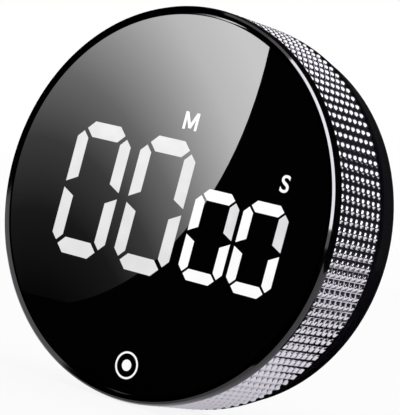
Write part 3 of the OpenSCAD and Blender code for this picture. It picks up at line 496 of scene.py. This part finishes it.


# Lens: a disc cut from black-backed acrylic and polished like a mirror.
# It sits in the lens holder and is pressed in with it, onto the push switch.

# Black-backed acrylic: pure black where nothing bright stands before it, and without shine on its saw-cut
# edge, as painted shade for the dark gap beside the trim's lip
POLISH_HAZE = 16.67 * MM
EDGE_SHADE_FROM_R = 37.5 * MM
EDGE_SHADE_FULL_R = 37.53 * MM
lens_acrylic, tree, shader = new_finish("acrylic_black_backed_polished", IOR=1.5)
place = add_node(tree, "ShaderNodeTexCoord")
haze = add_node(tree, "ShaderNodeTexNoise", {
    "Vector": place.outputs["Object"], "Scale": 1 / POLISH_HAZE, "Detail": 5.0})
tone = add_node(tree, "ShaderNodeValToRGB", {"Fac": haze.outputs["Fac"]})
tone.color_ramp.elements[0].color = linear("#010102")
tone.color_ramp.elements[1].color = linear("#040405")
rough = add_node(tree, "ShaderNodeMapRange", {
    "Value": haze.outputs["Fac"], "To Min": 0.004, "To Max": 0.01})
flat = add_node(tree, "ShaderNodeMapping", {"Vector": place.outputs["Object"], "Scale": (1.0, 0.0, 1.0)})
reach = add_node(tree, "ShaderNodeVectorMath", {0: flat.outputs["Vector"]}, operation="LENGTH")
# The shine fades out at the rim: painted shade for the dark gap between the lens and the lip
shine = add_node(tree, "ShaderNodeMapRange", {
    "Value": reach.outputs["Value"], "From Min": EDGE_SHADE_FROM_R, "From Max": EDGE_SHADE_FULL_R,
    "To Min": 0.5, "To Max": 0.0})
tree.links.new(tone.outputs["Color"], shader.inputs["Base Color"])
tree.links.new(rough.outputs["Result"], shader.inputs["Roughness"])
tree.links.new(shine.outputs["Result"], shader.inputs["Specular IOR Level"])
finish_node("front_lens", lens_acrylic)


# Lit digits: two large for the minutes and two small for the seconds, all showing a nought.
# Each is six light bars that shine up through the lens, so they are drawn as inlays level with its face.
LENS_FRONT = -25.2 * MM
INLAY_PROUD = 0.01 * MM
INLAY_DEPTH = 0.2 * MM
LEAN = math.tan(math.radians(1.95))


def nought_bars(h, w, across, upright, gap):
    """Corners of a nought's six bars in millimetres; across and upright are the widths of its bars."""
    bars = []
    tip = w / 2 - upright / 2 - gap
    flat = tip - across / 2
    for y in (-(h - across) / 2, (h - across) / 2):
        high, low = y + across / 2, y - across / 2
        bars.append([(-tip, y), (-flat, high), (flat, high), (tip, y), (flat, low), (-flat, low)])
    top = h / 2 - across / 2 - gap
    bend = top - upright / 2
    for sx in (-1, 1):
        for sy in (-1, 1):
            bars.append([
                (sx * (w - upright) / 2, sy * top), (sx * w / 2, sy * bend), (sx * w / 2, sy * gap),
                (sx * (w / 2 - upright), sy * (gap + upright / 2)), (sx * (w / 2 - upright), sy * bend)])
    return [[(x + y * LEAN, y) for x, y in bar] for bar in bars]


def model_inlay(name, centre, corners):
    """Models one flat inlay in the lens from its corners about centre, in millimetres on the face."""
    made = draw_outline(name, [
        ((centre[0] + x) * MM, LENS_FRONT - INLAY_PROUD, (centre[1] + y) * MM) for x, y in corners])
    bpy.ops.mesh.edge_face_add()
    bpy.ops.mesh.extrude_region_move(TRANSFORM_OT_translate={"value": (0, INLAY_DEPTH, 0)})
    bpy.ops.mesh.select_all(action="SELECT")
    bpy.ops.mesh.normals_make_consistent(inside=False)
    bpy.ops.object.mode_set(mode="OBJECT")
    return made


def model_bars(name, centre, outlines):
    """Models the bars of a digit from their outlines and joins them into one piece."""
    bars = [model_inlay(name, centre, corners) for corners in outlines]
    for bar in bars:
        bar.select_set(True)
    bpy.context.view_layer.objects.active = bars[0]
    if len(bars) > 1:
        bpy.ops.object.join()
    made = bpy.context.object
    made.name = name
    return made


def copy_along(made, name, step):
    """Copies a piece with its own mesh and shifts the copy's mesh along X."""
    bpy.ops.object.select_all(action="DESELECT")
    made.select_set(True)
    bpy.context.view_layer.objects.active = made
    bpy.ops.object.duplicate(linked=False)
    copy = bpy.context.object
    copy.name = name
    bpy.ops.transform.translate(value=(step, 0, 0))
    bpy.ops.object.transform_apply(location=True, rotation=True, scale=True)
    return copy


# White light bar behind smoked acrylic: an even glow, a touch dimmer in clouds between the lamp dies
DIE_PITCH = 4 * MM


def bar_glow(name, low, high):
    """Finish of a lit bar, whose glow drifts between two greys."""
    made, tree, shader = new_finish(name, IOR=1.5, Roughness=0.25, Emission_Strength=0.95)
    place = add_node(tree, "ShaderNodeTexCoord")
    dies = add_node(tree, "ShaderNodeTexNoise", {
        "Vector": place.outputs["Object"], "Scale": 1 / DIE_PITCH, "Detail": 1.0})
    tone = add_node(tree, "ShaderNodeValToRGB", {"Fac": dies.outputs["Fac"]})
    tone.color_ramp.elements[0].position = 0.35
    tone.color_ramp.elements[0].color = linear(low)
    tone.color_ramp.elements[1].position = 0.65
    tone.color_ramp.elements[1].color = linear(high)
    tree.links.new(tone.outputs["Color"], shader.inputs["Emission Color"])
    shader.inputs["Base Color"].default_value = linear("#303032")
    return made


# The minutes glow a little less than the seconds, and one bar of each small digit is dimmer still
minute_glow = bar_glow("light_bar_white_minutes", "#DEDEDF", "#E4E4E5")
second_glow = bar_glow("light_bar_white_seconds", "#FBFBFC", "#FFFFFF")
dim_glow = bar_glow("light_bar_white_dim", "#D8D8DA", "#E0E0E2")
minute_bars = nought_bars(h=27.14, w=13.59, across=3.2, upright=2.7, gap=0.63)
second_bars = nought_bars(h=18.11, w=10.4, across=2.24, upright=2.19, gap=0.36)
# Centre of the tens and pitch to the ones, in millimetres on the face
MINUTE_TENS_AT = (-17.57, -0.72)
MINUTE_PITCH = 16.04
SECOND_TENS_AT = (12.66, -4.15)
SECOND_PITCH = 11.41
for name, tens_at, pitch, outlines, glow in (
        ("minute", MINUTE_TENS_AT, MINUTE_PITCH, minute_bars, minute_glow),
        ("second", SECOND_TENS_AT, SECOND_PITCH, second_bars[:5], second_glow),
        ("second_dim", SECOND_TENS_AT, SECOND_PITCH, second_bars[5:], dim_glow)):
    tens = model_bars(name + "_tens", tens_at, outlines)
    ones = copy_along(tens, name + "_ones", pitch * MM)
    for digit in (tens, ones):
        bpy.ops.object.select_all(action="DESELECT")
        digit.select_set(True)
        bpy.context.view_layer.objects.active = digit
        end_piece(digit, "lens", glow)


# Unit letters: M above the minutes and S above the seconds, clear windows in the black backing of the lens.
# They are lit from behind with the digits, so they are inlays too and share the seconds' glow.
# Places and sizes are in millimetres on the face.
M_AT = (2.38, 16.93)
M_OUTLINE = (
    (-1.7, -1.75), (-1.7, 1.75), (-1.0, 1.75), (0.0, -0.45), (1.0, 1.75), (1.7, 1.75), (1.7, -1.75),
    (1.1, -1.75), (1.1, 0.4), (0.3, -1.45), (-0.3, -1.45), (-1.1, 0.4), (-1.1, -1.75))
minute_letter = model_inlay("minute_letter", M_AT, [(x + y * LEAN, y) for x, y in M_OUTLINE])
end_piece(minute_letter, "lens", second_glow)

S_AT = (26.77, 9.11)
S_SIZE = 4.7
S_WEIGHT = 0.07
bpy.ops.object.select_all(action="DESELECT")
bpy.ops.object.text_add()
second_letter = bpy.context.object
second_letter.name = "second_letter"
second_letter.data.body = "S"
second_letter.data.size = S_SIZE * MM
second_letter.data.offset = S_WEIGHT * MM
second_letter.data.shear = LEAN
second_letter.data.extrude = INLAY_DEPTH / 2
second_letter.data.align_x = "CENTER"
bpy.ops.object.convert(target="MESH")
second_letter.rotation_euler = (math.pi / 2, 0, 0)
bpy.ops.object.transform_apply(location=True, rotation=True, scale=True)
corners = [vertex.co for vertex in second_letter.data.vertices]
middle_x, middle_z = [(min(c[i] for c in corners) + max(c[i] for c in corners)) / 2 for i in (0, 2)]
second_letter.location = (
    S_AT[0] * MM - middle_x, LENS_FRONT - INLAY_PROUD + INLAY_DEPTH / 2, S_AT[1] * MM - middle_z)
bpy.ops.object.transform_apply(location=True, rotation=True, scale=True)
end_piece(second_letter, "lens", second_glow)


# Start mark: a ring round a dot at the foot of the face, where the lens is pressed.
# It is a window in the black backing like the letters, lit from behind in the same way.
MARK_AT = (0.8 * MM, LENS_FRONT - INLAY_PROUD, -32.3 * MM)
MARK_R = 2.72 * MM
MARK_LINE = 0.4 * MM
MARK_DOT_R = 1.12 * MM


def model_mark(name, radius, sides, line=None):
    """Models a round inlay at the mark's place; a line width leaves only a ring of it."""
    bpy.ops.object.select_all(action="DESELECT")
    bpy.ops.mesh.primitive_circle_add(
        vertices=sides, radius=radius, fill_type="NGON", location=MARK_AT, rotation=(math.pi / 2, 0, 0))
    made = start_piece(name)
    bpy.ops.mesh.select_mode(type="FACE")
    bpy.ops.mesh.select_all(action="SELECT")
    if line:
        bpy.ops.mesh.inset(thickness=line)
        bpy.ops.mesh.delete(type="FACE")
        bpy.ops.mesh.select_all(action="SELECT")
    bpy.ops.mesh.extrude_region_move(TRANSFORM_OT_translate={"value": (0, INLAY_DEPTH, 0)})
    bpy.ops.mesh.select_all(action="SELECT")
    bpy.ops.mesh.normals_make_consistent(inside=False)
    end_piece(made, "lens", second_glow)


model_mark("start_mark_ring", MARK_R, sides=72, line=MARK_LINE)
model_mark("start_mark_dot", MARK_DOT_R, sides=48)


# Camera: a long lens in front of the object and to its right, rolled so that the timer leans clockwise.
# The picture is 400 by 415 pixels.
PICTURE_W = 400
PICTURE_H = 415
FOCAL_PX = 2150.9
SENSOR_MM = 36
GLASS = Vector((0, LENS_FRONT, 0))
CAMERA_AWAY = 0.42
CAMERA_SIDE = math.radians(35.582)
CAMERA_ROLL = math.radians(12.448)
# The timer is turned a touch in its own plane
TIMER_TURN = math.radians(1.13)
# Where the camera aims, from the middle of the glass
AIM_RIGHT = 7.504 * MM
AIM_DOWN = 0.795 * MM
lean = Matrix.Rotation(-TIMER_TURN, 3, "Y")
level_right = lean @ Vector((math.cos(CAMERA_SIDE), math.sin(CAMERA_SIDE), 0))
level_up = lean @ Vector((0, 0, 1))
forward = lean @ Vector((-math.sin(CAMERA_SIDE), math.cos(CAMERA_SIDE), 0))
right = math.cos(CAMERA_ROLL) * level_right + math.sin(CAMERA_ROLL) * level_up
up = math.cos(CAMERA_ROLL) * level_up - math.sin(CAMERA_ROLL) * level_right
eye = GLASS - CAMERA_AWAY * forward
aim = GLASS + AIM_RIGHT * right - AIM_DOWN * up

bpy.ops.object.camera_add(location=eye)
camera = bpy.context.object
sight = (aim - eye).normalized()
side = sight.cross(up).normalized()
top = side.cross(sight).normalized()
camera.rotation_euler = Matrix((side, top, -sight)).transposed().to_euler()
camera.data.sensor_fit = "HORIZONTAL"
camera.data.sensor_width = SENSOR_MM
camera.data.lens = FOCAL_PX * SENSOR_MM / PICTURE_W
camera.data.clip_start = 0.01
bpy.context.scene.camera = camera


# Studio: a white paper sweep under the timer, which stands on its rim, and a white surround.
# The sweep is near white to the camera, a little darker in gloss, and keeps a soft shadow.
FLOOR_Z = -39.55 * MM
SWEEP_SIZE = 12
# Shares of plain white that are mixed in for the camera, and for gloss and glass
SHOWN_WHITE = 0.88
MIRRORED_WHITE = 0.4
SURROUND_FILL = 0.95
bpy.ops.object.select_all(action="DESELECT")
bpy.ops.mesh.primitive_plane_add(size=SWEEP_SIZE, location=(0, 0, FLOOR_Z))
floor = bpy.context.object
floor.name = "studio_floor"
sweep, tree, shader = new_finish("paper_sweep_white", Roughness=0.8)
shader.inputs["Base Color"].default_value = linear("#F2F2F2")
ray = add_node(tree, "ShaderNodeLightPath")
mirrored = add_node(tree, "ShaderNodeMath", {
    0: ray.outputs["Is Glossy Ray"], 1: ray.outputs["Is Transmission Ray"]}, operation="MAXIMUM")
mirrored = add_node(tree, "ShaderNodeMath", {
    0: mirrored.outputs[0], 1: MIRRORED_WHITE}, operation="MULTIPLY")
shown = add_node(tree, "ShaderNodeMath", {
    0: ray.outputs["Is Camera Ray"], 1: SHOWN_WHITE}, operation="MULTIPLY")
part = add_node(tree, "ShaderNodeMath", {0: shown.outputs[0], 1: mirrored.outputs[0]}, operation="MAXIMUM")
white = add_node(tree, "ShaderNodeEmission", {"Color": linear("#FFFFFF"), "Strength": 1.0})
both = add_node(tree, "ShaderNodeMixShader", {
    0: part.outputs[0], 1: shader.outputs["BSDF"], 2: white.outputs["Emission"]})
tree.links.new(both.outputs["Shader"], tree.nodes["Material Output"].inputs["Surface"])
floor.data.materials.append(sweep)

world = bpy.data.worlds.new("white_surround")
bpy.context.scene.world = world
world.use_nodes = True
tree = world.node_tree
ray = add_node(tree, "ShaderNodeLightPath")
bright_ray = add_node(tree, "ShaderNodeMath", {
    0: ray.outputs["Is Camera Ray"], 1: ray.outputs["Is Glossy Ray"]}, operation="MAXIMUM")
bright_ray = add_node(tree, "ShaderNodeMath", {
    0: bright_ray.outputs[0], 1: ray.outputs["Is Transmission Ray"]}, operation="MAXIMUM")
fill = add_node(tree, "ShaderNodeBackground", {"Color": linear("#FFFFFF"), "Strength": SURROUND_FILL})
shown = add_node(tree, "ShaderNodeBackground", {"Color": linear("#FFFFFF"), "Strength": 1.0})
both = add_node(tree, "ShaderNodeMixShader", {
    0: bright_ray.outputs[0], 1: fill.outputs["Background"], 2: shown.outputs["Background"]})
tree.links.new(both.outputs["Shader"], tree.nodes["World Output"].inputs["Surface"])


# Softbox: a round studio light, cut level at the top, whose curved edge sweeps down across the lens.
# It stands where a twin of the camera behind the glass would look, and shows only in gloss.
SOFTBOX_AWAY = 0.66
SOFTBOX_SIDES = 128
# Pixels of the picture: where its middle is seen, its half width and half height
SOFTBOX_AT_PX = (41.8, -82.4)
SOFTBOX_HALF_PX = (241.6, 387.8)
# Pixels from its middle, to the right and up: the level cut, and the point that its diffuser darkens towards
SOFTBOX_CUT_PX = -82
DARK_AT_PX = (-11.8, -600.4)
# Pixels from that point at which the diffuser starts to brighten and is brightest, with heights counted less
DARK_END_PX = 100
BRIGHT_PX = 300
HEIGHT_SHARE = 0.44
SOFTBOX_STRENGTH = 23.0
SOFTBOX_GREYS = (
    (0.18, "#171717"), (0.34, "#383838"), (0.5, "#656565"), (0.63, "#8C8C8C"), (0.82, "#B8B8B8"))
# Metres to a pixel at the softbox
PX = SOFTBOX_AWAY / FOCAL_PX
twin_eye = Vector((eye.x, 2 * LENS_FRONT - eye.y, eye.z))
twin_side, twin_top, twin_sight = [Vector((v.x, -v.y, v.z)) for v in (side, top, sight)]


def light_card(card, finish_name, strength):
    """Makes a flat shape glow, seen only in gloss; gives its node tree and its emission node."""
    card_finish = bpy.data.materials.new(finish_name)
    card_finish.use_nodes = True
    tree = card_finish.node_tree
    tree.nodes.remove(tree.nodes["Principled BSDF"])
    glow = add_node(tree, "ShaderNodeEmission", {"Color": linear("#FFFFFF"), "Strength": strength})
    tree.links.new(glow.outputs["Emission"], tree.nodes["Material Output"].inputs["Surface"])
    card.data.materials.append(card_finish)
    card.visible_camera = False
    card.visible_shadow = False
    card.visible_diffuse = False
    return tree, glow


bpy.ops.object.select_all(action="DESELECT")
bpy.ops.mesh.primitive_circle_add(vertices=SOFTBOX_SIDES, radius=PX, fill_type="NGON")
softbox = bpy.context.object
softbox.name = "round_softbox"
softbox.scale = (*SOFTBOX_HALF_PX, 1)
bpy.ops.object.transform_apply(location=True, rotation=True, scale=True)
bpy.ops.object.mode_set(mode="EDIT")
bpy.ops.mesh.select_all(action="SELECT")
bpy.ops.mesh.bisect(
    plane_co=(0, SOFTBOX_CUT_PX * PX, 0), plane_no=(0, 1, 0), clear_outer=True, use_fill=False)
bpy.ops.object.mode_set(mode="OBJECT")
softbox_right = (SOFTBOX_AT_PX[0] - PICTURE_W / 2) / FOCAL_PX * twin_side
softbox_down = (SOFTBOX_AT_PX[1] - PICTURE_H / 2) / FOCAL_PX * twin_top
softbox_at = twin_eye + SOFTBOX_AWAY * (twin_sight + softbox_right - softbox_down)
softbox_turn = Matrix((twin_side, twin_top, twin_side.cross(twin_top))).transposed().to_quaternion()
softbox.matrix_world = Matrix.LocRotScale(softbox_at, softbox_turn, None)
tree, glow = light_card(softbox, "softbox_glow", SOFTBOX_STRENGTH)
place = add_node(tree, "ShaderNodeTexCoord")
from_dark = add_node(tree, "ShaderNodeMapping", {
    "Vector": place.outputs["Object"], "Scale": (1.0, HEIGHT_SHARE, 1.0),
    "Location": (-DARK_AT_PX[0] * PX, -HEIGHT_SHARE * DARK_AT_PX[1] * PX, 0)})
away = add_node(tree, "ShaderNodeVectorMath", {0: from_dark.outputs["Vector"]}, operation="LENGTH")
share = add_node(tree, "ShaderNodeMapRange", {
    "Value": away.outputs["Value"], "From Min": DARK_END_PX * PX, "From Max": BRIGHT_PX * PX,
    "To Min": 0.0, "To Max": 1.0})
glow_ramp = add_node(tree, "ShaderNodeValToRGB", {"Fac": share.outputs["Result"]})
glow_ramp.color_ramp.elements[0].color = linear("#060606")
glow_ramp.color_ramp.elements[1].color = linear("#C8C8C8")
for position, grey in SOFTBOX_GREYS:
    glow_ramp.color_ramp.elements.new(position).color = linear(grey)
tree.links.new(glow_ramp.outputs["Color"], glow.inputs["Color"])


# Cards round the set: dark flags that keep the lens black and cut the chrome, and lit panels for the chrome.
# They too show only in gloss.
BLACK = 0
DARK_GREY = 0.02


def stand_card(name, centre, facing, width, height, strength, spin=Vector((0, 0, 1))):
    """Stands a flat card at centre with its face towards facing and its height along spin."""
    bpy.ops.object.select_all(action="DESELECT")
    bpy.ops.mesh.primitive_plane_add(size=1)
    card = bpy.context.object
    card.name = name
    normal = (Vector(facing) - Vector(centre)).normalized()
    across = spin.cross(normal).normalized()
    turn = Matrix((across, normal.cross(across), normal)).transposed().to_quaternion()
    card.matrix_world = Matrix.LocRotScale(Vector(centre), turn, Vector((width, height, 1)))
    bpy.ops.object.transform_apply(location=True, rotation=True, scale=True)
    light_card(card, name + "_card", strength)


def lay_card(name, x, y, lift, width, length, strength, along=Vector((0, 1, 0))):
    """Lays a card flat over the sweep at a small lift, with its length along the given way."""
    centre = Vector((x, y, FLOOR_Z + lift))
    stand_card(name, centre, centre + Vector((0, 0, 1)), width, length, strength, spin=along)


# The cards on the sweep lie a hair above each other where they overlap
UNDER = 0.55 * MM
BETWEEN = 0.65 * MM
OVER = 0.75 * MM

# What the lens mirrors round the softbox, in the camera's view and from the front
FLAG_AWAY = 0.9
FLAG_RAISE = Vector((0, 0, 0.9))
lens_view = Vector((-math.sin(CAMERA_SIDE), -math.cos(CAMERA_SIDE), 0))
stand_card("flag_front", GLASS + FLAG_AWAY * lens_view + FLAG_RAISE, GLASS + FLAG_RAISE,
           width=2.6, height=1.9, strength=BLACK)
lay_card("flag_floor", x=-0.492, y=-0.626, lift=UNDER, width=1.0, length=1.2, strength=BLACK)
lay_card("flag_floor_front", x=0.104, y=-0.6305, lift=UNDER, width=0.192, length=1.199, strength=BLACK)

# What the rear band mirrors: a card with slanting edges, whose near corner lies close behind the timer
BACK_WIDTH = 2.0
BACK_LENGTH = 1.0
back_way = Vector((-0.949, 0.316, 0))
back_edge = Vector((0.316, 0.949, 0))
back_corner = Vector((0.039, 0.0025, 0))
back_mid = back_corner + BACK_LENGTH / 2 * back_way + BACK_WIDTH / 2 * back_edge
lay_card("flag_floor_back", x=back_mid.x, y=back_mid.y, lift=UNDER, width=BACK_WIDTH, length=BACK_LENGTH,
         strength=BLACK, along=back_way)

# A black slip close by is painted shade: it stands for the timer's shade on the sweep beside it, and darkens
# what the lower studs mirror of the sweep
lay_card("flag_floor_near", x=0.057, y=0.031, lift=BETWEEN, width=0.022, length=0.065, strength=BLACK,
         along=Vector((0.68, 0.73, 0)))

# Dark grey on the right and at the back, and black on the left, set off the bright glints on the studs
lay_card("flag_floor_right", x=0.71, y=0.68, lift=OVER, width=1.1, length=1.2, strength=DARK_GREY)
lay_card("flag_floor_far", x=0.75, y=-0.59, lift=OVER, width=1.1, length=1.22, strength=DARK_GREY)
stand_card("flag_back", (0, 0.55, 0.48), (0, 0, 0.48), width=2.4, height=1.04, strength=DARK_GREY)
stand_card("flag_right", (0.75, 0.2, 0.23), (0, 0.2, 0.23), width=0.7, height=0.54, strength=DARK_GREY)
stand_card("flag_left", (-0.8, 0, 0.73), (0, 0, 0.73), width=1.2, height=1.54, strength=BLACK)

# Light from the upper right: a broad soft panel, and before it a narrow bright strip for sharp glints
PANEL_AT = (0.308, -0.339, 0.405)
STRIP_AT = (0.348, -0.2725, 0.384)
PANEL_STRENGTH = 1.5
STRIP_STRENGTH = 16
panel_way = Vector((-0.783, 0.29, 0.549))
stand_card("panel_top", PANEL_AT, (0, 0, 0), width=1.3, height=1.3, strength=PANEL_STRENGTH, spin=panel_way)
stand_card("strip_top", STRIP_AT, (0, 0, 0), width=0.1, height=0.86, strength=STRIP_STRENGTH, spin=panel_way)

bpy.context.scene.view_settings.view_transform = "Standard"
